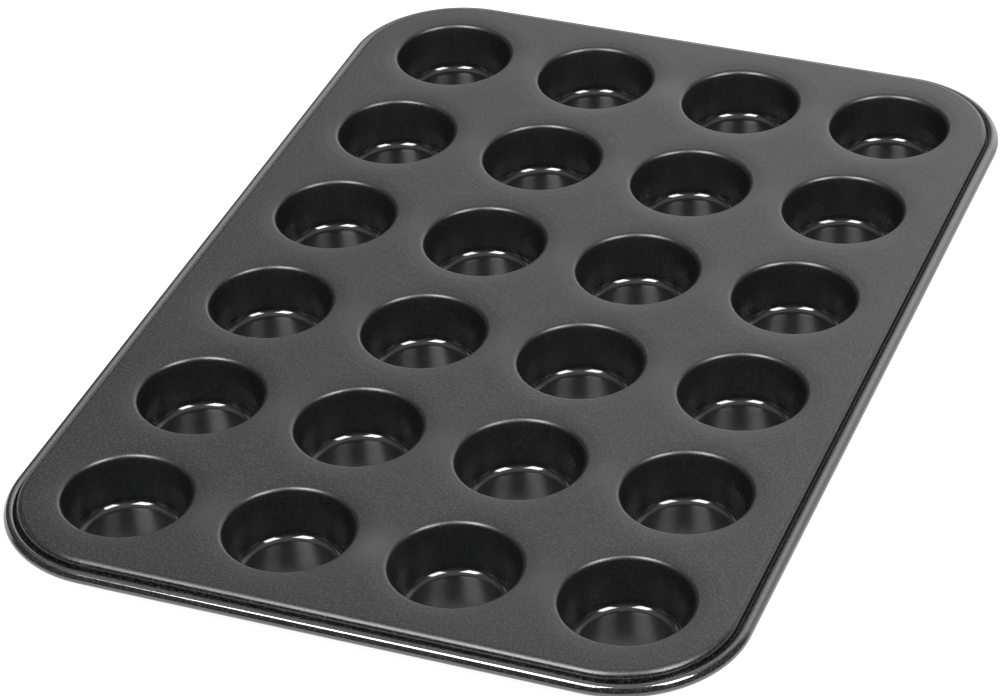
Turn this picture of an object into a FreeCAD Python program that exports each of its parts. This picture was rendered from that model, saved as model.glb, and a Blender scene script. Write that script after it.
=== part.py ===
import FreeCAD, Part
import math
import os

from FreeCAD import Vector

os.makedirs("parts", exist_ok=True)

# Mini muffin tin with six rows of four cups. Millimetres, +Z up.
# X runs along the rows of four cups and Y along the columns of six.
# The origin is at the middle of the tin, on the plane that the cup bottoms stand on.

# Driving dimensions
row_count = 6
column_count = 4
row_pitch = 60.0  # between cup centres along Y
column_pitch = 58.8  # between cup centres along X
sheet = 0.5  # thickness of the steel sheet

deck_length = 370.2  # flat deck along Y, up to where its edge starts to bend
deck_width = 245.6  # flat deck along X
deck_corner = 36.0  # corner radius of the flat deck

mouth_radius = 23.5  # where the flat deck starts to roll into a cup
mouth_roll = 2.0  # radius of the rolled mouth, on the baking side
cup_depth = 18.0  # deck to cup bottom, on the baking side
panel_radius = 15.4  # flat bottom panel of a cup
bottom_fillet = 3.0  # between the panel and the cup wall, on the baking side

edge_bend = 2.5  # outer radius of the deck's turned-down edge
skirt_angle = math.radians(86.0)  # tilt of the skirt wall away from the flat deck
valley_radius = 0.15  # crease between the skirt and the bead, on the baking side
bead_radius = 2.25  # outside radius of the rolled bead
bead_reach = 4.85  # from the flat deck's edge out to the bead's centre
bead_drop = 4.6  # from the deck's top down to the bead's centre
curl_end = math.radians(255.0)  # where the rolled sheet ends, measured from the bead's top

# Worked-out dimensions
deck_top = cup_depth + sheet
wire_radius = bead_radius - sheet

# Tilt of the cup wall: the line that touches the mouth roll on one side and the fillet on the other
roll_to_fillet = Vector(mouth_radius - panel_radius, 0, cup_depth - mouth_roll - bottom_fillet)
wall_draft = (
    math.atan2(roll_to_fillet.x, roll_to_fillet.z)
    - math.asin((mouth_roll + bottom_fillet) / roll_to_fillet.Length)
)

# Angle, measured from the bead's top, at which the valley's arc touches the bead
valley_offset = (
    bead_reach * math.sin(skirt_angle)
    - (bead_drop - edge_bend) * math.cos(skirt_angle)
    - valley_radius
    - edge_bend
)
bead_start = math.acos(-valley_offset / (bead_radius + valley_radius)) - skirt_angle


def around(centre, radius, angle):
    """Point at an angle from straight up, turning outwards, in the vertical X-Z plane."""
    return Vector(
        centre.x + radius * math.sin(angle),
        0,
        centre.z + radius * math.cos(angle),
    )


def arc(centre, radius, start, end):
    """Arc edge between two angles from straight up."""
    middle = 0.5 * (start + end)
    return Part.Arc(
        around(centre, radius, start),
        around(centre, radius, middle),
        around(centre, radius, end),
    ).toShape()


def line(start, end):
    return Part.LineSegment(start, end).toShape()


def section_face(top_edges, under_edges, top_start, under_start, top_end, under_end):
    """Sheet section between its baking side and its underside, closed by two short ends."""
    edges = top_edges + [line(top_end, under_end)] + under_edges + [line(under_start, top_start)]
    return Part.Face(Part.Wire(Part.__sortEdges__(edges)))


def rounded_outline(length, width, corner, height):
    """Closed rectangle with round corners, starting at the middle of the +X side."""
    half_x = 0.5 * width
    half_y = 0.5 * length
    edges = []
    for quarter in range(4):
        turn = FreeCAD.Rotation(Vector(0, 0, 1), 90.0 * quarter)
        along_x = half_x if quarter % 2 == 0 else half_y
        along_y = half_y if quarter % 2 == 0 else half_x
        side_start = Vector(along_x, corner - along_y, height)
        side_end = Vector(along_x, along_y - corner, height)
        corner_middle = Vector(
            along_x - corner + corner * math.sqrt(0.5),
            along_y - corner + corner * math.sqrt(0.5),
            height,
        )
        corner_end = Vector(along_x - corner, along_y, height)
        edges.append(line(turn.multVec(side_start), turn.multVec(side_end)))
        bend = Part.Arc(turn.multVec(side_end), turn.multVec(corner_middle), turn.multVec(corner_end))
        edges.append(bend.toShape())
    return Part.Wire(edges)


def carried_round(face):
    """A section face, drawn outwards from the deck's +X edge, carried round the whole deck."""
    placed = face.copy()
    placed.translate(Vector(0.5 * deck_width, 0, 0))
    solids = []
    half_x = 0.5 * deck_width
    half_y = 0.5 * deck_length
    long_run = deck_length - 2 * deck_corner
    short_run = deck_width - 2 * deck_corner
    for side in (0, 180):
        run = placed.copy()
        run.translate(Vector(0, -0.5 * long_run, 0))
        solid = run.extrude(Vector(0, long_run, 0))
        solid.rotate(Vector(0, 0, 0), Vector(0, 0, 1), side)
        solids.append(solid)
    for side in (90, 270):
        run = placed.copy()
        run.translate(Vector(half_y - half_x, -0.5 * short_run, 0))
        solid = run.extrude(Vector(0, short_run, 0))
        solid.rotate(Vector(0, 0, 0), Vector(0, 0, 1), side)
        solids.append(solid)
    for quarter in range(4):
        along_x = half_x if quarter % 2 == 0 else half_y
        along_y = half_y if quarter % 2 == 0 else half_x
        turned = placed.copy()
        turned.translate(Vector(along_x - half_x, along_y - deck_corner, 0))
        axis_point = Vector(along_x - deck_corner, along_y - deck_corner, 0)
        solid = turned.revolve(axis_point, Vector(0, 0, 1), 90)
        solid.rotate(Vector(0, 0, 0), Vector(0, 0, 1), 90 * quarter)
        solids.append(solid)
    return solids[0].fuse(solids[1:]).removeSplitter()


def cup_centres():
    """Name and centre of every cup, row by row from -Y and column by column from -X."""
    for row in range(row_count):
        for column in range(column_count):
            x = (column - 0.5 * (column_count - 1)) * column_pitch
            y = (row - 0.5 * (row_count - 1)) * row_pitch
            yield "cup_r%d_c%d" % (row + 1, column + 1), Vector(x, y, 0)


def make_deck():
    """Flat sheet with a round opening at every cup mouth."""
    outline = rounded_outline(deck_length, deck_width, deck_corner, deck_top - sheet)
    plate = Part.Face(outline).extrude(Vector(0, 0, sheet))
    mouths = []
    for _, centre in cup_centres():
        base = Vector(centre.x, centre.y, deck_top - 2 * sheet)
        mouths.append(Part.makeCylinder(mouth_radius, 3 * sheet, base))
    return plate.cut(mouths)


def make_cup():
    """One drawn cup on the Z axis: rolled mouth, tapered wall, fillet and flat bottom panel."""
    roll_centre = Vector(mouth_radius, 0, deck_top - mouth_roll)
    fillet_centre = Vector(panel_radius, 0, sheet + bottom_fillet)
    wall_turn = 0.5 * math.pi - wall_draft
    top_in = Vector(0, 0, sheet)
    under_in = Vector(0, 0, 0)
    panel_top = around(fillet_centre, bottom_fillet, math.pi)
    panel_under = around(fillet_centre, bottom_fillet + sheet, math.pi)
    fillet_top = around(fillet_centre, bottom_fillet, math.pi - wall_turn)
    fillet_under = around(fillet_centre, bottom_fillet + sheet, math.pi - wall_turn)
    roll_top = around(roll_centre, mouth_roll, -wall_turn)
    roll_under = around(roll_centre, mouth_roll - sheet, -wall_turn)
    mouth_top = around(roll_centre, mouth_roll, 0)
    mouth_under = around(roll_centre, mouth_roll - sheet, 0)
    top_edges = [
        line(top_in, panel_top),
        arc(fillet_centre, bottom_fillet, math.pi, math.pi - wall_turn),
        line(fillet_top, roll_top),
        arc(roll_centre, mouth_roll, -wall_turn, 0),
    ]
    under_edges = [
        line(under_in, panel_under),
        arc(fillet_centre, bottom_fillet + sheet, math.pi, math.pi - wall_turn),
        line(fillet_under, roll_under),
        arc(roll_centre, mouth_roll - sheet, -wall_turn, 0),
    ]
    face = section_face(top_edges, under_edges, top_in, under_in, mouth_top, mouth_under)
    return face.revolve(Vector(0, 0, 0), Vector(0, 0, 1), 360)


def bead_centre():
    return Vector(bead_reach, 0, deck_top - bead_drop)


def make_rim_skirt():
    """Turned-down edge of the deck with the narrow groove that runs up to the bead."""
    bend_centre = Vector(0, 0, deck_top - edge_bend)
    valley_centre = around(bead_centre(), bead_radius + valley_radius, -bead_start)
    wall_side = math.pi + skirt_angle
    bead_side = math.pi - bead_start
    bend_top = around(bend_centre, edge_bend, skirt_angle)
    bend_under = around(bend_centre, edge_bend - sheet, skirt_angle)
    valley_top = around(valley_centre, valley_radius, wall_side)
    valley_under = around(valley_centre, valley_radius + sheet, wall_side)
    top_edges = [
        arc(bend_centre, edge_bend, 0, skirt_angle),
        line(bend_top, valley_top),
        arc(valley_centre, valley_radius, wall_side, bead_side),
    ]
    under_edges = [
        arc(bend_centre, edge_bend - sheet, 0, skirt_angle),
        line(bend_under, valley_under),
        arc(valley_centre, valley_radius + sheet, wall_side, bead_side),
    ]
    face = section_face(
        top_edges,
        under_edges,
        around(bend_centre, edge_bend, 0),
        around(bend_centre, edge_bend - sheet, 0),
        around(valley_centre, valley_radius, bead_side),
        around(valley_centre, valley_radius + sheet, bead_side),
    )
    return carried_round(face)


def make_rim_bead():
    """Sheet rolled outwards and under, ending close to the skirt's underside."""
    centre = bead_centre()
    top_edges = [arc(centre, bead_radius, -bead_start, curl_end)]
    under_edges = [arc(centre, wire_radius, -bead_start, curl_end)]
    face = section_face(
        top_edges,
        under_edges,
        around(centre, bead_radius, -bead_start),
        around(centre, wire_radius, -bead_start),
        around(centre, bead_radius, curl_end),
        around(centre, wire_radius, curl_end),
    )
    return carried_round(face)


def make_rim_wire():
    """Round stiffening wire that the bead is rolled about."""
    circle = Part.makeCircle(wire_radius, bead_centre(), Vector(0, 1, 0))
    return carried_round(Part.Face(Part.Wire(circle)))


def save(name, shape):
    solids = shape.Solids
    print("%-12s solids %d  valid %s  volume %.1f mm3" % (name, len(solids), shape.isValid(), shape.Volume))
    shape.exportStep("parts/%s.step" % name)


def main():
    save("deck", make_deck())
    cup = make_cup()
    for name, centre in cup_centres():
        placed = cup.copy()
        placed.translate(centre)
        save(name, placed)
    save("rim_skirt", make_rim_skirt())
    save("rim_bead", make_rim_bead())
    save("rim_wire", make_rim_wire())


main()
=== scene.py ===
import math

import bpy
import numpy as np
from mathutils import Matrix, Vector


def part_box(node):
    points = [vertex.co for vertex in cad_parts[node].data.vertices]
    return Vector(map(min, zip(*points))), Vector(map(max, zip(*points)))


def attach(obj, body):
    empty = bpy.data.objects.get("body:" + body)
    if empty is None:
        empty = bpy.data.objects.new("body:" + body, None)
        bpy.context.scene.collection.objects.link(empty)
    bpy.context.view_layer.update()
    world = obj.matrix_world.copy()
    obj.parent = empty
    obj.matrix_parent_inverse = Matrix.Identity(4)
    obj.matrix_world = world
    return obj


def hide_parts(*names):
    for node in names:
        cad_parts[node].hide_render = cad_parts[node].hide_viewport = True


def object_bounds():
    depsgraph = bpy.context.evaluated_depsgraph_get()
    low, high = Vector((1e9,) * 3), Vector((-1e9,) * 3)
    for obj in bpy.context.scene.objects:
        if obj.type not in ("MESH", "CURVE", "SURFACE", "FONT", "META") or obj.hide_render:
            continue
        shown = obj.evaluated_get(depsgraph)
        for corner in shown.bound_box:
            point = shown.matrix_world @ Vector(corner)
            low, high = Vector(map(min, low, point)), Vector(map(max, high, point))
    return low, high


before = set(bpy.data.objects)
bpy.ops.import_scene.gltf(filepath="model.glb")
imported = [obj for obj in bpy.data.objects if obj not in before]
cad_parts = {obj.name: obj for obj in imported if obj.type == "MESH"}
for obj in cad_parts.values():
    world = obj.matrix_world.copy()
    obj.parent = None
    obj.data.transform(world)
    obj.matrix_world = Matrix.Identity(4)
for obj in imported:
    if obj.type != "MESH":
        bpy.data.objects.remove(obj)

mm = 0.001
cadLow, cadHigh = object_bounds()
deckLow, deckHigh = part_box("deck")

# What the frame says about the tin, in metres
tin = {
    "rows": 6,
    "columns": 4,
    "sheet": deckHigh.z - deckLow.z,
    "deckTop": deckHigh.z,
    "deckHalf": (deckHigh.x, deckHigh.y),
    "deckCorner": 36 * mm,
}


def cupCentres():
    # rows run from -Y and columns from -X; each centre is the middle of its CAD cup
    centres = []
    for row in range(tin["rows"]):
        for column in range(tin["columns"]):
            low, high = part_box("cup_r%d_c%d" % (row + 1, column + 1))
            centres.append(((low.x + high.x) / 2, (low.y + high.y) / 2))
    return np.array(centres)


centres = cupCentres()
firstLow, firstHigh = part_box("cup_r1_c1")
tin["mouthRadius"] = (firstHigh.x - firstLow.x) / 2
print("frame read: %d cups, deck top at %.2f mm" % (len(centres), tin["deckTop"] / mm))


def smooth(share):
    # eases a share between 0 and 1 in and out
    return share * share * (3 - 2 * share)


def arcPart(centre, radius, tilts):
    # point = centre + radius * (sin tilt, cos tilt); a negative radius gives a hollow bend
    return np.stack([centre[0] + radius * np.sin(tilts), centre[1] + radius * np.cos(tilts), tilts], 1)


def linePart(start, end, steps):
    # straight run between two profile rows, both ends left out
    share = np.linspace(0, 1, steps + 1)[1:-1, None]
    return start + (end - start) * share


cup = {
    "mouthRoll": 1.6 * mm,
    "fillet": 3.0 * mm,
    "panelRadius": 15.4 * mm,
    "rollSteps": 14,
    "wallSteps": 8,
    "filletSteps": 16,
    "panelSteps": 8,
    "turns": 144,
}


def cupProfile():
    # rows of (radius, height, tilt): rolled mouth, straight wall, fillet, flat panel to the axis
    rollCentre = np.array([tin["mouthRadius"], tin["deckTop"] - cup["mouthRoll"]])
    filletCentre = np.array([cup["panelRadius"], tin["sheet"] + cup["fillet"]])
    apart = rollCentre - filletCentre
    draft = math.atan2(apart[0], apart[1]) - math.asin(
        (cup["mouthRoll"] + cup["fillet"]) / np.hypot(*apart)
    )
    wallTilt = draft - math.pi / 2
    roll = arcPart(rollCentre, cup["mouthRoll"], np.linspace(0, wallTilt, cup["rollSteps"] + 1))
    fillet = arcPart(filletCentre, -cup["fillet"], np.linspace(wallTilt, 0, cup["filletSteps"] + 1))
    axis = np.array([0, tin["sheet"], 0])
    panel = linePart(fillet[-1], axis, cup["panelSteps"])
    return np.concatenate([roll, linePart(roll[-1], fillet[0], cup["wallSteps"]), fillet, panel, [axis]])


def turned(profile, centre, turns):
    # point = centre + radius * (cos a, sin a) at the profile's height; the normal leans outwards by the tilt
    angle = np.arange(turns) * (2 * math.pi / turns)
    out = np.stack([np.cos(angle), np.sin(angle), np.zeros(turns)], 1)[None]
    up = np.array([0, 0, 1.0])
    radius, height, tilt = (profile[:, i, None, None] for i in range(3))
    points = radius * out + height * up + np.array([centre[0], centre[1], 0])
    return points, np.sin(tilt) * out + np.cos(tilt) * up


rim = {
    "bend": 2.5 * mm,
    "skirtTilt": math.radians(86),
    "valley": 0.15 * mm,
    "beadRadius": 2.25 * mm,
    "beadReach": 4.85 * mm,
    "beadDrop": 4.6 * mm,
    "curlEnd": math.radians(255),
    "flatAt": math.radians(55),
    "flatWidth": math.radians(26),
    "flatDepth": 0.26 * mm,
    "specular": 1.0,
    "bendSteps": 18,
    "wallSteps": 2,
    "valleySteps": 14,
    "beadSteps": 72,
    "cornerSteps": 130,
    "straightStep": 3.0 * mm,
}


def rimProfiles():
    # rows of (reach from the deck's edge, height, tilt) for the skirt and the bead; a bump flatDepth *
    # exp(-((tilt - flatAt) / flatWidth)^2) comes off the bead's radius, and its tilts lean by the slope
    top = tin["deckTop"]
    bead = np.array([rim["beadReach"], top - rim["beadDrop"]])
    touch = rim["beadRadius"] + rim["valley"]
    slack = (
        rim["beadReach"] * math.sin(rim["skirtTilt"])
        - (rim["beadDrop"] - rim["bend"]) * math.cos(rim["skirtTilt"])
        - rim["valley"]
        - rim["bend"]
    )
    beadStart = rim["skirtTilt"] - math.acos(-slack / touch)
    valley = bead + touch * np.array([math.sin(beadStart), math.cos(beadStart)])
    bendTilts = np.linspace(0, rim["skirtTilt"], rim["bendSteps"] + 1)
    bendPart = arcPart((0, top - rim["bend"]), rim["bend"], bendTilts)
    valleyTilts = np.linspace(rim["skirtTilt"], beadStart, rim["valleySteps"] + 1)
    valleyPart = arcPart(valley, -rim["valley"], valleyTilts)
    wallPart = linePart(bendPart[-1], valleyPart[0], rim["wallSteps"])
    skirtRows = np.concatenate([bendPart, wallPart, valleyPart])
    tilts = np.linspace(beadStart, rim["curlEnd"], rim["beadSteps"] + 1)
    away = (tilts - rim["flatAt"]) / rim["flatWidth"]
    inwards = rim["flatDepth"] * np.exp(-(away**2))
    beadRows = arcPart(bead, rim["beadRadius"] - inwards, tilts)
    beadRows[:, 2] += 2 * away / rim["flatWidth"] * -inwards / rim["beadRadius"]
    return skirtRows, beadRows


def rimPath():
    # walks the deck's rounded outline: edge point, outward direction and distance walked
    halfX, halfY = tin["deckHalf"]
    corner = tin["deckCorner"]
    points, outs = [], []
    for quarter in range(4):
        turn = quarter * math.pi / 2
        side, along = (halfX, halfY) if quarter % 2 == 0 else (halfY, halfX)
        run = along - corner
        steps = int(math.ceil(2 * run / rim["straightStep"]))
        place = np.linspace(-run, run, steps, endpoint=False)
        straight = np.stack([np.full(steps, side), place], 1)
        angle = np.linspace(0, math.pi / 2, rim["cornerSteps"], endpoint=False)
        ray = np.stack([np.cos(angle), np.sin(angle)], 1)
        bent = np.array([side - corner, run]) + corner * ray
        spin = np.array([[math.cos(turn), -math.sin(turn)], [math.sin(turn), math.cos(turn)]])
        points.append(np.concatenate([straight, bent]) @ spin.T)
        outs.append(np.concatenate([np.tile([1.0, 0.0], (steps, 1)), ray]) @ spin.T)
    points, outs = np.concatenate(points), np.concatenate(outs)
    walked = np.concatenate([[0], np.cumsum(np.linalg.norm(np.diff(points, axis=0), axis=1))])
    return points, outs, walked


def carried(profile, path, outs):
    # point = edge point + reach * outward direction at the profile's height
    out = np.concatenate([outs, np.zeros((len(outs), 1))], 1)[None]
    base = np.concatenate([path, np.zeros((len(path), 1))], 1)[None]
    up = np.array([0, 0, 1.0])
    reach, height, tilt = (profile[:, i, None, None] for i in range(3))
    return base + reach * out + height * up, np.sin(tilt) * out + np.cos(tilt) * up


uneven = {
    "mouthDip": 0.26 * mm,
    "mouthLength": 2.9 * mm,
    "mouthLeast": 21 * mm,
    "edgeDip": 0.14 * mm,
    "edgeLength": 6.0 * mm,
    "swell": 0.14 * mm,
    "swellShare": 0.24,
    "swellLength": 82 * mm,
    "swellSquash": 0.83,
    "swellSlant": 0.61,
    "swellShift": (0.7, -0.4),
    "slopeStep": 0.05 * mm,
}


def edgeDistance(x, y):
    # how far a place lies inside the deck's rounded outline: corner radius less the distance to its pivot
    corner = tin["deckCorner"]
    pastX = np.abs(x) - (tin["deckHalf"][0] - corner)
    pastY = np.abs(y) - (tin["deckHalf"][1] - corner)
    outside = np.hypot(np.maximum(pastX, 0), np.maximum(pastY, 0))
    return np.maximum(corner - outside - np.minimum(np.maximum(pastX, pastY), 0), 0)


def settle(points, normals):
    # lowers the sheet by w(x, y) = mouthDip * exp(-gap / mouthLength) + edgeDip * exp(-gap / edgeLength)
    # + sine swells; w fades to nothing at the cup bottoms, and the normals lean by its slope
    def depth(x, y):
        gap = np.hypot(x[..., None] - centres[:, 0], y[..., None] - centres[:, 1]).min(-1)
        past = np.maximum(gap, uneven["mouthLeast"]) - tin["mouthRadius"]
        mouth = uneven["mouthDip"] * np.exp(-past / uneven["mouthLength"])
        edge = uneven["edgeDip"] * np.exp(-edgeDistance(x, y) / uneven["edgeLength"])
        wave = 2 * math.pi / uneven["swellLength"]
        shiftX, shiftY = uneven["swellShift"]
        swell = np.sin(wave * x + shiftX) * np.cos(uneven["swellSquash"] * wave * y + shiftY)
        swell = swell + np.sin(uneven["swellSlant"] * wave * (x + y))
        return -mouth - edge - uneven["swell"] * (0.5 + uneven["swellShare"] * swell)

    x, y, z = points[..., 0], points[..., 1], points[..., 2]
    keep = smooth(np.clip(z / tin["deckTop"], 0, 1))
    step = uneven["slopeStep"]
    w = depth(x, y)
    slopeX = (depth(x + step, y) - depth(x - step, y)) / (2 * step)
    slopeY = (depth(x, y + step) - depth(x, y - step)) / (2 * step)
    moved = points.copy()
    moved[..., 2] += keep * w
    leaned = normals.copy()
    leaned[..., 0] -= keep * slopeX * normals[..., 2]
    leaned[..., 1] -= keep * slopeY * normals[..., 2]
    return moved, leaned / np.linalg.norm(leaned, axis=-1, keepdims=True)


def pushed(points, normals, height):
    # moves a closed-round grid along its normals by a height field and leans the normals by its slope
    def slope(field, axis):
        if axis == 1:
            return (np.roll(field, -1, 1) - np.roll(field, 1, 1)) / 2
        return np.gradient(field, axis=0)

    leaned = normals.copy()
    for axis in (0, 1):
        along = slope(points, axis)
        leaned -= (slope(height, axis) / (along**2).sum(-1))[..., None] * along
    return points + height[..., None] * normals, leaned / np.linalg.norm(leaned, axis=-1, keepdims=True)


def quadsOf(index):
    # corner numbers of every cell of an index grid
    return np.stack([index[:-1, :-1], index[1:, :-1], index[1:, 1:], index[:-1, 1:]], -1).reshape(-1, 4)


def facing(faces, points, cornerNormals):
    # turns the whole block of faces over if it looks against its normals
    a, b, c = (points[faces[:, i]] for i in range(3))
    look = (np.cross(b - a, c - a) * cornerNormals[:, 0]).sum()
    return (faces, cornerNormals) if look > 0 else (faces[:, ::-1], cornerNormals[:, ::-1])


def meshObject(name, points, blocks, material):
    # blocks are (faces, corner normals) pairs; the corner normals carry the exact surface direction
    blocks = [facing(faces, points, normals) for faces, normals in blocks]
    mesh = bpy.data.meshes.new(name)
    faceList = [face for faces, _ in blocks for face in faces.tolist()]
    mesh.from_pydata(points.tolist(), [], faceList)
    mesh.polygons.foreach_set("use_smooth", np.ones(len(faceList), bool))
    mesh.normals_split_custom_set(np.concatenate([n.reshape(-1, 3) for _, n in blocks]))
    mesh.materials.append(material)
    piece = bpy.data.objects.new(name, mesh)
    bpy.context.scene.collection.objects.link(piece)
    return piece


def flatNormals(faces, points, away):
    # one normal per face, pointing to the same side as the direction given for each face
    a, b, c = (points[faces[:, i]] for i in range(3))
    normal = np.cross(b - a, c - a)
    normal /= np.linalg.norm(normal, axis=1, keepdims=True) + 1e-30
    normal *= np.sign((normal * away).sum(1, keepdims=True))
    return np.repeat(normal[:, None], faces.shape[1], 1)


def sheetPiece(name, points, normals, material, pole=False):
    # closed shell of a grid that closes round itself: face, the same grid one sheet below, and end rings
    under, underNormals = points - tin["sheet"] * normals, -normals
    rows, turns = points.shape[:2]
    index = np.arange(rows * turns).reshape(rows, turns)
    if pole:
        index[-1] = index[-1, 0]
    index = np.concatenate([index, index[:, :1]], 1)
    count = rows * turns
    allPoints = np.concatenate([points.reshape(-1, 3), under.reshape(-1, 3)])
    allNormals = np.concatenate([normals.reshape(-1, 3), underNormals.reshape(-1, 3)])
    blocks = []
    for shift in (0, count):
        body = quadsOf(index[:-1] if pole else index) + shift
        blocks.append((body, allNormals[body]))
        if pole:
            fan = np.stack([index[-2, :-1], index[-2, 1:], index[-1, :-1]], -1) + shift
            blocks.append((fan, allNormals[fan]))
    ends = [0] if pole else [0, rows - 1]
    for row in ends:
        a, b = index[row, :-1], index[row, 1:]
        strip = np.stack([a, b, b + count, a + count], -1)
        beside = index[1 if row == 0 else row - 1, :-1]
        away = allPoints[a] - allPoints[beside]
        blocks.append((strip, flatNormals(strip, allPoints, away)))
    used = np.unique(np.concatenate([faces.ravel() for faces, _ in blocks]))
    place = np.zeros(2 * count, int)
    place[used] = np.arange(len(used))
    blocks = [(place[faces], cornerNormals) for faces, cornerNormals in blocks]
    return meshObject(name, allPoints[used], blocks, material)


deck = {"rays": 144, "rings": 13, "crowding": 1.5}


def deckCells():
    # one cell per cup: rays from the mouth circle out to the cell's edge, which is half-way to the next cup
    # or the deck's own rounded outline
    halfX, halfY = tin["deckHalf"]
    x, y = centres[:, 0], centres[:, 1]
    pitchX = np.diff(np.unique(np.round(x, 6)))[0]
    pitchY = np.diff(np.unique(np.round(y, 6)))[0]
    right = np.where(x > x.max() - pitchX / 2, halfX - x, pitchX / 2)
    left = np.where(x < x.min() + pitchX / 2, halfX + x, pitchX / 2)
    back = np.where(y > y.max() - pitchY / 2, halfY - y, pitchY / 2)
    front = np.where(y < y.min() + pitchY / 2, halfY + y, pitchY / 2)
    angle = (np.arange(deck["rays"]) + 0.5) * (2 * math.pi / deck["rays"])
    ray = np.stack([np.cos(angle), np.sin(angle)], 1)
    sideX = np.where(ray[None, :, 0] > 0, right[:, None], left[:, None])
    sideY = np.where(ray[None, :, 1] > 0, back[:, None], front[:, None])
    reach = np.minimum(sideX / np.abs(ray[:, 0]), sideY / np.abs(ray[:, 1]))
    edge = ray[None] * reach[..., None]
    for signX in (-1, 1):
        for signY in (-1, 1):
            nookX = right if signX > 0 else -left
            nookY = back if signY > 0 else -front
            nook = np.stack([nookX, nookY], 1)
            pick = np.argmax((ray[None] * nook[:, None]).sum(-1), 1)
            edge[np.arange(len(centres)), pick] = nook
    whole = edge + centres[:, None]
    inset = np.array([halfX - tin["deckCorner"], halfY - tin["deckCorner"]])
    beyond = (np.abs(whole) > inset).all(-1)
    pivot = np.sign(whole) * inset - centres[:, None]
    along = (ray[None] * pivot).sum(-1)
    bent = along + np.sqrt(np.maximum(along**2 - (pivot**2).sum(-1) + tin["deckCorner"] ** 2, 0))
    edge = np.where(beyond[..., None], ray[None] * bent[..., None], edge)
    mouth = ray[None] * tin["mouthRadius"]
    share = (np.linspace(0, 1, deck["rings"] + 1) ** deck["crowding"])[None, :, None, None]
    flat = centres[:, None, None] + mouth[:, None] * (1 - share) + edge[:, None] * share
    rimEdge = (np.abs(np.abs(whole) - tin["deckHalf"]) < 1e-6).any(-1) | beyond
    return flat, rimEdge


def deckPiece(material):
    # flat cells joined into one sheet, its underside one sheet below, and the walls at mouths and outline
    flat, rimEdge = deckCells()
    cells, rings, rays = flat.shape[:3]
    points = np.concatenate([flat, np.full(flat.shape[:3] + (1,), tin["deckTop"])], -1).reshape(-1, 3)
    _, first, index = np.unique(np.round(points, 7), axis=0, return_index=True, return_inverse=True)
    points = points[first]
    index = index.reshape(cells, rings, rays)
    index = np.concatenate([index, index[:, :, :1]], 2)
    rimEdge = np.concatenate([rimEdge, rimEdge[:, :1]], 1)
    up = np.tile([0, 0, 1.0], (len(points), 1))
    count = len(points)
    top, topNormals = settle(points, up)
    low, lowNormals = settle(points - tin["sheet"] * up, -up)
    allPoints = np.concatenate([top, low])
    allNormals = np.concatenate([topNormals, lowNormals])
    faces = np.concatenate([quadsOf(cell) for cell in index])
    blocks = [(faces, allNormals[faces]), (faces + count, allNormals[faces + count])]
    mouthA, mouthB = index[:, 0, :-1].ravel(), index[:, 0, 1:].ravel()
    hub = np.repeat(centres, rays, 0)
    outer = (rimEdge[:, :-1] & rimEdge[:, 1:]).ravel()
    edgeA, edgeB = index[:, -1, :-1].ravel()[outer], index[:, -1, 1:].ravel()[outer]
    for a, b, goal in ((mouthA, mouthB, hub - points[mouthA, :2]), (edgeA, edgeB, points[edgeA, :2])):
        strip = np.stack([a, b, b + count, a + count], -1)
        away = np.concatenate([goal, np.zeros((len(a), 1))], 1)
        blocks.append((strip, flatNormals(strip, allPoints, away)))
    return meshObject("deckSheet", allPoints, blocks, material)


crimp = {
    "depth": 0.018 * mm,
    "spacing": 1.7 * mm,
    "fade": 6 * mm,
    "lead": 0.35,
    "start": math.radians(5),
    "full": math.radians(55),
    "lean": 0.35,
    "leanTurns": 2.2,
    "drifts": ((1.1, 0.173, 1.3), (0.8, 0.291, 0.0)),
    "strength": (0.65, 0.35, 0.137, 0.5),
}


def crimpHeight(profile, walked, path):
    # puckers across the bead at the corners: -depth * (1 + cos(phase) * strength) / 2 along the rim, with an
    # uneven phase, growing from the bead's top outwards
    halfX, halfY = tin["deckHalf"]
    inside = np.minimum(
        np.abs(path[:, 0]) - (halfX - tin["deckCorner"]), np.abs(path[:, 1]) - (halfY - tin["deckCorner"])
    )
    corner = smooth(np.clip(inside / crimp["fade"] + crimp["lead"], 0, 1))
    tilt = profile[:, 2]
    grow = smooth(np.clip((tilt - crimp["start"]) / (crimp["full"] - crimp["start"]), 0, 1))[:, None]
    even = 2 * math.pi * walked / crimp["spacing"]
    phase = even
    for size, rate, shift in crimp["drifts"]:
        phase = phase + size * np.sin(even * rate + shift)
    middle, swing, rate, shift = crimp["strength"]
    strength = middle + swing * np.sin(phase * rate + shift)
    lean = crimp["lean"] * np.sin(tilt * crimp["leanTurns"])[:, None]
    ripple = np.cos(phase[None] + lean) * strength
    return -crimp["depth"] * corner[None] * grow * (0.5 + 0.5 * ripple)


def nodeTree(owner):
    owner.use_nodes = True
    owner.node_tree.nodes.clear()
    return owner.node_tree


def newNode(tree, kind, inputs=(), **settings):
    # adds a node, sets its settings, then fills its inputs with values or links them to sockets
    node = tree.nodes.new(kind)
    for name, value in settings.items():
        setattr(node, name, value)
    for key, value in dict(inputs).items():
        if isinstance(value, bpy.types.NodeSocket):
            tree.links.new(value, node.inputs[key])
        else:
            node.inputs[key].default_value = value
    return node


def groupTree(name, inputs, outputs):
    tree = bpy.data.node_groups.new(name, "ShaderNodeTree")
    for label, kind, value in inputs:
        socket = tree.interface.new_socket(label, in_out="INPUT", socket_type=kind)
        if value is not None:
            socket.default_value = value
    for label, kind in outputs:
        tree.interface.new_socket(label, in_out="OUTPUT", socket_type=kind)
    return tree, tree.nodes.new("NodeGroupInput"), tree.nodes.new("NodeGroupOutput")


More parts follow.
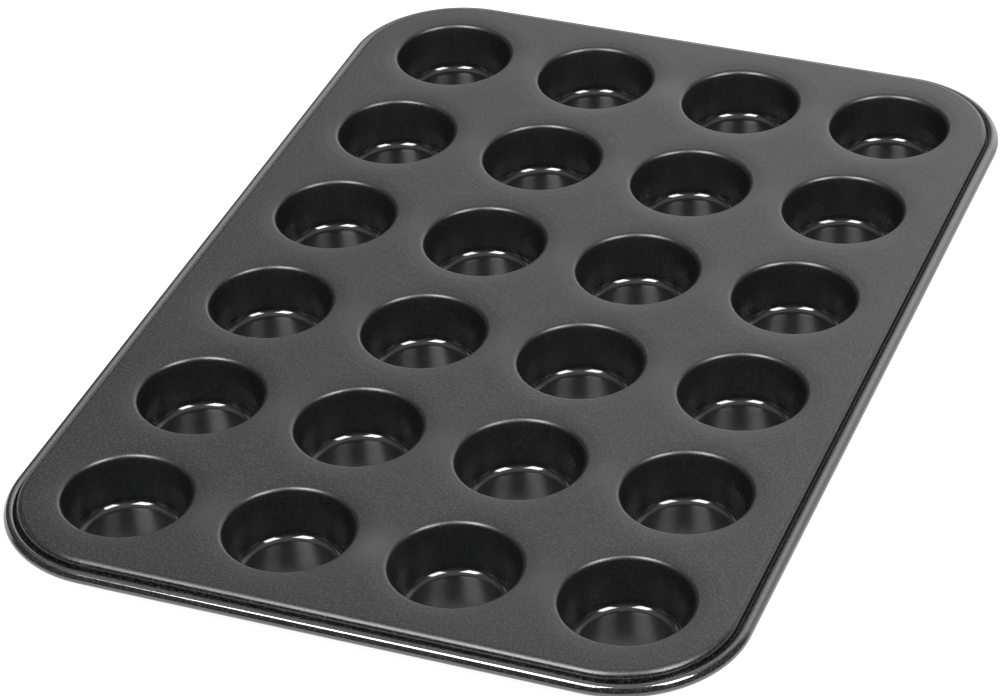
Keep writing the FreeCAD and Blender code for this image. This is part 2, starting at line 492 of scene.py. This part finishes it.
def satinGrain():
    # fine pebble of a sprayed coating: a light and dark speckle and the normal of its bumps
    tree, given, made = groupTree(
        "satinGrain",
        [
            ("Size", "NodeSocketFloat", 1150.0),
            ("Strength", "NodeSocketFloat", 0.1),
            ("Height", "NodeSocketFloat", 0.00002),
        ],
        [("Speckle", "NodeSocketFloat"), ("Normal", "NodeSocketVector")],
    )
    place = newNode(tree, "ShaderNodeTexCoord").outputs["Object"]
    size = given.outputs["Size"]
    fine = newNode(
        tree, "ShaderNodeTexNoise", {"Vector": place, "Scale": size, "Detail": 3.0, "Roughness": 0.6}
    )
    bump = newNode(
        tree,
        "ShaderNodeBump",
        {
            "Height": fine.outputs["Fac"],
            "Strength": given.outputs["Strength"],
            "Distance": given.outputs["Height"],
        },
    )
    tree.links.new(fine.outputs["Fac"], made.inputs["Speckle"])
    tree.links.new(bump.outputs["Normal"], made.inputs["Normal"])
    return tree


def drawMarks():
    # broad soft clouds left in the coating where the press stretched it
    tree, given, made = groupTree(
        "drawMarks", [("Size", "NodeSocketFloat", 40.0)], [("Cloud", "NodeSocketFloat")]
    )
    place = newNode(tree, "ShaderNodeTexCoord").outputs["Object"]
    size = given.outputs["Size"]
    cloud = newNode(
        tree, "ShaderNodeTexNoise", {"Vector": place, "Scale": size, "Detail": 4.0, "Roughness": 0.55}
    )
    tree.links.new(cloud.outputs["Fac"], made.inputs["Cloud"])
    return tree


pressed = {
    "flatFrom": 0.975,
    "flatTo": 1.005,
    "ringFrom": 1.06,
    "ringFadeIn": 0.12,
    "ringTo": 1.5,
    "ringFadeOut": 0.2,
    "ringFine": 30.0,
    "ringDrift": 14.0,
    "ringDepth": 0.09 * mm,
    "ringBump": 0.6,
    # painted sheen between close cups: its share, where it lies, and the pale colour it paints
    "paintedSheenShare": 0.4,
    "innerColumns": 1.75,
    "saddleWide": 7.0 * mm,
    "saddleLong": 10.0 * mm,
    "paintedSheenTone": (0.019, 0.0191, 0.0193, 1),
    "endBoost": 1.5,
    "endWide": 34 * mm,
    "endLong": 20 * mm,
}


def mathNode(tree, operation, a, b=0.0):
    return newNode(tree, "ShaderNodeMath", {0: a, 1: b}, operation=operation).outputs["Value"]


def times(tree, a, b):
    return mathNode(tree, "MULTIPLY", a, b)


def bell(tree, value, width):
    # exp(-(value / width)^2)
    share = mathNode(tree, "DIVIDE", value, width)
    return mathNode(tree, "EXPONENT", times(tree, times(tree, share, share), -1.0))


def rise(tree, value, start, end, low=0.0, high=1.0):
    # smooth step from low at the start to high at the end
    return newNode(
        tree,
        "ShaderNodeMapRange",
        {"Value": value, "From Min": start, "From Max": end, "To Min": low, "To Max": high},
        interpolation_type="SMOOTHSTEP",
    ).outputs["Result"]


def fromNearest(tree, value, count, pitch):
    # signed distance to the nearest of a row of evenly spaced cup centres about the middle
    first = -0.5 * (count - 1) * pitch
    along = mathNode(tree, "DIVIDE", mathNode(tree, "SUBTRACT", value, first), pitch)
    steps = mathNode(tree, "ROUND", along)
    held = newNode(tree, "ShaderNodeClamp", {"Value": steps, "Min": 0.0, "Max": count - 1.0})
    centre = mathNode(tree, "ADD", times(tree, held.outputs["Result"], pitch), first)
    return mathNode(tree, "SUBTRACT", value, centre)


def pressMarksAndSheen():
    # marks of drawing the cups, and a painted sheen. Ring: fine uneven rings round each mouth. The sheen
    # output
    # is a painted sheen: a mask that lightens the base colour where two cups of a row come close, most of
    # all in the end rows, standing in for light caught by the sheet's slopes there. Flat: 1 on the deck and
    # 0 inside the cups
    tree, _, made = groupTree(
        "pressMarksAndSheen", [], [(label, "NodeSocketFloat") for label in ("Ring", "PaintedSheen", "Flat")]
    )
    place = newNode(tree, "ShaderNodeTexCoord").outputs["Object"]
    parts = newNode(tree, "ShaderNodeSeparateXYZ", {"Vector": place}).outputs
    pitchX = centres[1][0] - centres[0][0]
    pitchY = centres[tin["columns"]][1] - centres[0][1]
    alongX = fromNearest(tree, parts["X"], tin["columns"], pitchX)
    alongY = fromNearest(tree, parts["Y"], tin["rows"], pitchY)
    squares = mathNode(tree, "ADD", times(tree, alongX, alongX), times(tree, alongY, alongY))
    ratio = mathNode(tree, "DIVIDE", mathNode(tree, "SQRT", squares), tin["mouthRadius"])
    turn = newNode(
        tree,
        "ShaderNodeCombineXYZ",
        {
            "X": times(tree, ratio, pressed["ringFine"]),
            "Y": times(tree, parts["X"], pressed["ringDrift"]),
            "Z": times(tree, parts["Y"], pressed["ringDrift"]),
        },
    )
    lines = newNode(
        tree,
        "ShaderNodeTexNoise",
        {"Vector": turn.outputs["Vector"], "Scale": 1.0, "Detail": 2.0, "Roughness": 0.6},
    ).outputs["Fac"]
    ringFrom, ringTo = pressed["ringFrom"], pressed["ringTo"]
    begins = rise(tree, ratio, ringFrom, ringFrom + pressed["ringFadeIn"])
    ends = rise(tree, ratio, ringTo - pressed["ringFadeOut"], ringTo, 1.0, 0.0)
    ring = times(tree, times(tree, begins, ends), lines)
    halfGap = mathNode(tree, "SUBTRACT", mathNode(tree, "ABSOLUTE", alongX), pitchX / 2)
    fromMiddle = mathNode(tree, "ABSOLUTE", parts["X"])
    inner = mathNode(tree, "LESS_THAN", fromMiddle, pressed["innerColumns"] * pitchX)
    waistX, waistY = bell(tree, halfGap, pressed["saddleWide"]), bell(tree, alongY, pressed["saddleLong"])
    waist = times(tree, waistX, waistY)
    endRow = 0.5 * (tin["rows"] - 1) * pitchY
    pastEnd = mathNode(tree, "SUBTRACT", mathNode(tree, "ABSOLUTE", parts["Y"]), endRow)
    middleX, middleY = bell(tree, parts["X"], pressed["endWide"]), bell(tree, pastEnd, pressed["endLong"])
    middle = times(tree, middleX, middleY)
    boost = mathNode(tree, "ADD", times(tree, middle, pressed["endBoost"]), 1.0)
    paintedSheen = times(tree, times(tree, waist, boost), times(tree, inner, pressed["paintedSheenShare"]))
    tree.links.new(rise(tree, ratio, pressed["flatFrom"], pressed["flatTo"]), made.inputs["Flat"])
    tree.links.new(ring, made.inputs["Ring"])
    tree.links.new(paintedSheen, made.inputs["PaintedSheen"])
    return tree


coating = {
    "dark": (0.0014, 0.0015, 0.0017, 1),
    "light": (0.0175, 0.0176, 0.0178, 1),
    "specks": (0.47, 0.68),
    # painted shade inside the cups: the dark even tone their base colour is pulled to, and the share of
    # speckle they keep
    "cupShadeTone": 0.08,
    "cupShadeSpecks": 0.2,
    "grain": 1.6,
    "satin": 0.36,
    "specular": 0.43,
    "skirtSpecular": 0.39,
    "ior": 1.6,
    "clouds": (0.3, 0.7),
    "cloudRough": 0.03,
}

# (height above the cup bottoms in mm, roughness) pairs: flat sheet is satin, drawn and rolled sheet glossier
pressedRough = [(0.51, 0.22), (0.62, 0.11), (2.9, 0.11), (3.8, 0.28), (15.0, 0.28), (17.5, 0.36)]
skirtRough = [(12.0, 0.18), (16.9, 0.18), (17.7, 0.38), (18.2, 0.38)]
rolledRough = [(12.0, 0.1), (15.0, 0.1)]


def roughByHeight(tree, place, stops):
    # straight runs between (height in mm, roughness) pairs, as a grey ramp over the tin's height
    height = newNode(tree, "ShaderNodeSeparateXYZ", {"Vector": place}).outputs["Z"]
    share = mathNode(tree, "DIVIDE", height, tin["deckTop"])
    ramp = newNode(tree, "ShaderNodeValToRGB", {"Fac": share})
    marksOnRamp = ramp.color_ramp.elements
    for spare in range(len(stops) - 2):
        marksOnRamp.new(0.5)
    for mark, (level, rough) in zip(marksOnRamp, stops):
        mark.position = level * mm / tin["deckTop"]
        mark.color = (rough, rough, rough, 1)
    return newNode(tree, "ShaderNodeSeparateColor", {"Color": ramp.outputs["Color"]}).outputs["Red"]


def nonStickCoating(name, groups, stops, specular, satinDeck=False):
    # dark charcoal coating with a fine pebble, soft clouds and a sheen that follows how far the sheet
    # is drawn; its base colour carries painted shade inside the cups and a painted sheen between close cups
    grain, marks, press = groups
    material = bpy.data.materials.new(name)
    tree = nodeTree(material)
    cloud = newNode(tree, "ShaderNodeGroup", node_tree=marks)
    drawn = newNode(tree, "ShaderNodeGroup", node_tree=press)
    flat = drawn.outputs["Flat"]
    place = newNode(tree, "ShaderNodeTexCoord").outputs["Object"]
    base = roughByHeight(tree, place, stops)
    if satinDeck:
        base = newNode(
            tree, "ShaderNodeMapRange", {"Value": flat, "To Min": base, "To Max": coating["satin"]}
        ).outputs["Result"]
    pebble = times(tree, base, coating["grain"])
    speck = newNode(tree, "ShaderNodeGroup", {"Strength": pebble}, node_tree=grain)
    vary = newNode(
        tree,
        "ShaderNodeMapRange",
        {
            "Value": cloud.outputs["Cloud"],
            "From Min": coating["clouds"][0],
            "From Max": coating["clouds"][1],
            "To Min": -coating["cloudRough"],
            "To Max": coating["cloudRough"],
        },
    ).outputs["Result"]
    tone = newNode(
        tree,
        "ShaderNodeMapRange",
        {
            "Value": speck.outputs["Speckle"],
            "From Min": coating["specks"][0],
            "From Max": coating["specks"][1],
        },
    ).outputs["Result"]
    # painted shade: inside the cups the base colour keeps only a small share of its speckle and is pulled to
    # a darker even tone, so cup walls and panels read darker than the deck
    speckKeptUnderShade = newNode(
        tree, "ShaderNodeMapRange", {"Value": flat, "To Min": coating["cupShadeSpecks"], "To Max": 1.0}
    ).outputs["Result"]
    spread = times(tree, mathNode(tree, "SUBTRACT", tone, coating["cupShadeTone"]), speckKeptUnderShade)
    blend = mathNode(tree, "ADD", spread, coating["cupShadeTone"])
    shade = newNode(
        tree,
        "ShaderNodeMix",
        {"Factor": blend, "A": coating["dark"], "B": coating["light"]},
        data_type="RGBA",
    )
    # painted sheen: the base colour is lightened towards a pale grey by the sheen mask, standing in for
    # light caught between close cups
    sheenPainted = newNode(
        tree,
        "ShaderNodeMix",
        {"Factor": drawn.outputs["PaintedSheen"], "A": shade.outputs[2], "B": pressed["paintedSheenTone"]},
        data_type="RGBA",
    )
    bump = newNode(
        tree,
        "ShaderNodeBump",
        {
            "Height": drawn.outputs["Ring"],
            "Strength": pressed["ringBump"],
            "Distance": pressed["ringDepth"],
            "Normal": speck.outputs["Normal"],
        },
    )
    surface = newNode(
        tree,
        "ShaderNodeBsdfPrincipled",
        {
            "Base Color": sheenPainted.outputs[2],
            "Roughness": mathNode(tree, "ADD", base, vary),
            "IOR": coating["ior"],
            "Specular IOR Level": specular,
            "Normal": bump.outputs["Normal"],
        },
    )
    newNode(tree, "ShaderNodeOutputMaterial", {"Surface": surface.outputs["BSDF"]})
    return material


wire = {
    "steel": (0.42, 0.41, 0.40, 1),
    "shadow": (0.30, 0.29, 0.28, 1),
    "rough": 0.32,
    "roughSpread": 0.08,
    "lineSize": 60.0,
    "lineStretch": 40.0,
    "around": 24,
}


def drawnSteel():
    # bare drawn wire: fine lines along the wire, from noise squeezed in height
    material = bpy.data.materials.new("drawnSteel")
    tree = nodeTree(material)
    place = newNode(tree, "ShaderNodeTexCoord").outputs["Object"]
    thin = newNode(tree, "ShaderNodeMapping", {"Vector": place, "Scale": (1.0, 1.0, wire["lineStretch"])})
    lines = newNode(
        tree,
        "ShaderNodeTexNoise",
        {"Vector": thin.outputs["Vector"], "Scale": wire["lineSize"], "Detail": 3.0},
    ).outputs["Fac"]
    shade = newNode(
        tree, "ShaderNodeMix", {"Factor": lines, "A": wire["shadow"], "B": wire["steel"]}, data_type="RGBA"
    )
    rough = newNode(
        tree,
        "ShaderNodeMapRange",
        {
            "Value": lines,
            "To Min": wire["rough"] - wire["roughSpread"],
            "To Max": wire["rough"] + wire["roughSpread"],
        },
    ).outputs["Result"]
    surface = newNode(tree, "ShaderNodeBsdfPrincipled", {"Metallic": 1.0, "Roughness": rough})
    tree.links.new(shade.outputs[2], surface.inputs["Base Color"])
    newNode(tree, "ShaderNodeOutputMaterial", {"Surface": surface.outputs["BSDF"]})
    return material


def wirePiece(path, outs, material):
    # point = wire centre + radius * (sin tilt along the outward direction, cos tilt upwards)
    radius = rim["beadRadius"] - tin["sheet"]
    centre = (rim["beadReach"], tin["deckTop"] - rim["beadDrop"])
    tilts = np.arange(wire["around"]) * (2 * math.pi / wire["around"])
    points, normals = settle(*carried(arcPart(centre, radius, tilts), path, outs))
    rows, turns = points.shape[:2]
    index = np.arange(rows * turns).reshape(rows, turns)
    index = np.concatenate([index, index[:, :1]], 1)
    index = np.concatenate([index, index[:1]], 0)
    faces = quadsOf(index)
    block = (faces, normals.reshape(-1, 3)[faces])
    return meshObject("rimWire", points.reshape(-1, 3), [block], material)


def finishPiece(piece, node):
    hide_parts(node)
    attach(piece, "root")


groups = (satinGrain(), drawMarks(), pressMarksAndSheen())
coat = nonStickCoating("nonStickCoating", groups, pressedRough, coating["specular"], satinDeck=True)
rolledCoat = nonStickCoating("rolledCoating", groups, rolledRough, rim["specular"])
skirtCoat = nonStickCoating("skirtCoating", groups, skirtRough, coating["skirtSpecular"])

finishPiece(deckPiece(coat), "deck")
print("deck made")

cupRows = cupProfile()
for number, centre in enumerate(centres):
    row, column = divmod(number, tin["columns"])
    cupPoints, cupNormals = settle(*turned(cupRows, centre, cup["turns"]))
    piece = sheetPiece("cupR%dC%d" % (row + 1, column + 1), cupPoints, cupNormals, coat, pole=True)
    finishPiece(piece, "cup_r%d_c%d" % (row + 1, column + 1))
print("cups made")

skirtRows, beadRows = rimProfiles()
path, outs, walked = rimPath()
skirtPoints, skirtNormals = settle(*carried(skirtRows, path, outs))
finishPiece(sheetPiece("rimSkirt", skirtPoints, skirtNormals, skirtCoat), "rim_skirt")
beadPoints, beadNormals = settle(*carried(beadRows, path, outs))
beadPoints, beadNormals = pushed(beadPoints, beadNormals, crimpHeight(beadRows, walked, path))
finishPiece(sheetPiece("rimBead", beadPoints, beadNormals, rolledCoat), "rim_bead")
finishPiece(wirePiece(path, outs, drawnSteel()), "rim_wire")
print("rim made")


studio = {
    "floorSize": 6.0,
    "floorTone": (0.16, 0.16, 0.16, 1),
    "floorGlow": 0.95,
    "floorRough": 0.9,
    "low": 0.16,
    "zenith": 0.80,
    "zenithReach": (0.5, 0.97),
    "wall": 1.9,
    "wallAside": math.radians(30),
    "wallUp": math.radians(15),
    "wallReach": (0.7, 1.0),
    "boxAway": 2.2,
}

# azimuth from the camera's, elevation, width, height and power of each softbox
softBoxes = {
    "softBoxLeft": (-38.5, 52.0, 0.80, 1.20, 76),
    "softBoxRight": (41.5, 46.0, 0.80, 1.20, 66),
}

shot = {
    "azimuth": math.radians(22.15),
    "elevation": math.radians(35.05),
    "roll": math.radians(-2.37),
    "distance": 1.3534,
    "lens": 139.56,
    "aim": (0.0004, -0.0323, tin["deckTop"]),
}


def floorPiece():
    # glowing pale square under the tin, see-through from beneath
    half = studio["floorSize"] / 2
    mesh = bpy.data.meshes.new("studioFloor")
    square = [(-half, -half, 0), (half, -half, 0), (half, half, 0), (-half, half, 0)]
    mesh.from_pydata(square, [], [(0, 1, 2, 3)])
    material = bpy.data.materials.new("paleFloor")
    tree = nodeTree(material)
    surface = newNode(
        tree,
        "ShaderNodeBsdfPrincipled",
        {
            "Base Color": studio["floorTone"],
            "Roughness": studio["floorRough"],
            "Specular IOR Level": 0.0,
            "Emission Color": (1, 1, 1, 1),
            "Emission Strength": studio["floorGlow"],
        },
    )
    clear = newNode(tree, "ShaderNodeBsdfTransparent").outputs["BSDF"]
    beneath = newNode(tree, "ShaderNodeNewGeometry").outputs["Backfacing"]
    seen = newNode(tree, "ShaderNodeMixShader", {0: beneath, 1: surface.outputs["BSDF"], 2: clear})
    newNode(tree, "ShaderNodeOutputMaterial", {"Surface": seen.outputs["Shader"]})
    mesh.materials.append(material)
    floor = bpy.data.objects.new("studioFloor", mesh)
    bpy.context.scene.collection.objects.link(floor)
    floor.location.z = cadLow.z


def heading(azimuth, elevation):
    # unit vector towards a place in the room; azimuth is measured like the camera's
    flat = math.cos(elevation)
    return Vector((math.sin(azimuth) * flat, -math.cos(azimuth) * flat, math.sin(elevation)))


def softBox(name, aside, elevation, width, height, power):
    # a softbox aimed at the tin, given by its angle from the camera's azimuth and its elevation in degrees
    away = heading(shot["azimuth"] + math.radians(aside), math.radians(elevation))
    light = bpy.data.lights.new(name, "AREA")
    light.shape = "RECTANGLE"
    light.size, light.size_y = width, height
    light.energy = power
    box = bpy.data.objects.new(name, light)
    box.location = away * studio["boxAway"]
    box.rotation_euler = away.to_track_quat("Z", "Y").to_euler()
    box.visible_camera = False
    bpy.context.scene.collection.objects.link(box)


def studioWorld():
    # light of the room by direction: dim low down on the camera's side, lighter overhead, and a broad
    # white wall behind the tin and to its right
    world = bpy.data.worlds.new("studioWorld")
    bpy.context.scene.world = world
    tree = nodeTree(world)
    ray = newNode(tree, "ShaderNodeTexCoord").outputs["Generated"]

    def glow(direction, reach, strength):
        near = newNode(tree, "ShaderNodeVectorMath", {0: ray, 1: direction}, operation="DOT_PRODUCT")
        return rise(tree, near.outputs["Value"], reach[0], reach[1], 0.0, strength)

    above = glow((0.0, 0.0, 1.0), studio["zenithReach"], studio["zenith"])
    wallWay = heading(shot["azimuth"] + math.pi - studio["wallAside"], studio["wallUp"])
    wall = glow(wallWay, studio["wallReach"], studio["wall"])
    room = mathNode(tree, "ADD", mathNode(tree, "ADD", above, wall), studio["low"])
    light = newNode(tree, "ShaderNodeBackground", {"Color": (1, 1, 1, 1), "Strength": room})
    newNode(tree, "ShaderNodeOutputWorld", {"Surface": light.outputs["Background"]})


def makeCamera():
    # the camera stands back from its aim along azimuth and elevation, turned a little about its own axis
    azimuth, roll = shot["azimuth"], shot["roll"]
    back = heading(azimuth, shot["elevation"])
    right = Vector((math.cos(azimuth), math.sin(azimuth), 0))
    up = back.cross(right)
    turnedRight = right * math.cos(roll) + up * math.sin(roll)
    turnedUp = back.cross(turnedRight)
    camera = bpy.data.cameras.new("camera")
    camera.lens = shot["lens"]
    camera.clip_start, camera.clip_end = 0.05, 20
    holder = bpy.data.objects.new("camera", camera)
    place = Vector(shot["aim"]) + back * shot["distance"]
    axes = Matrix((turnedRight, turnedUp, back)).transposed().to_4x4()
    holder.matrix_world = Matrix.Translation(place) @ axes
    bpy.context.scene.collection.objects.link(holder)
    bpy.context.scene.camera = holder


floorPiece()
studioWorld()
for name, settings in softBoxes.items():
    softBox(name, *settings)
makeCamera()
bpy.context.scene.view_settings.view_transform = "Standard"
print("studio made")
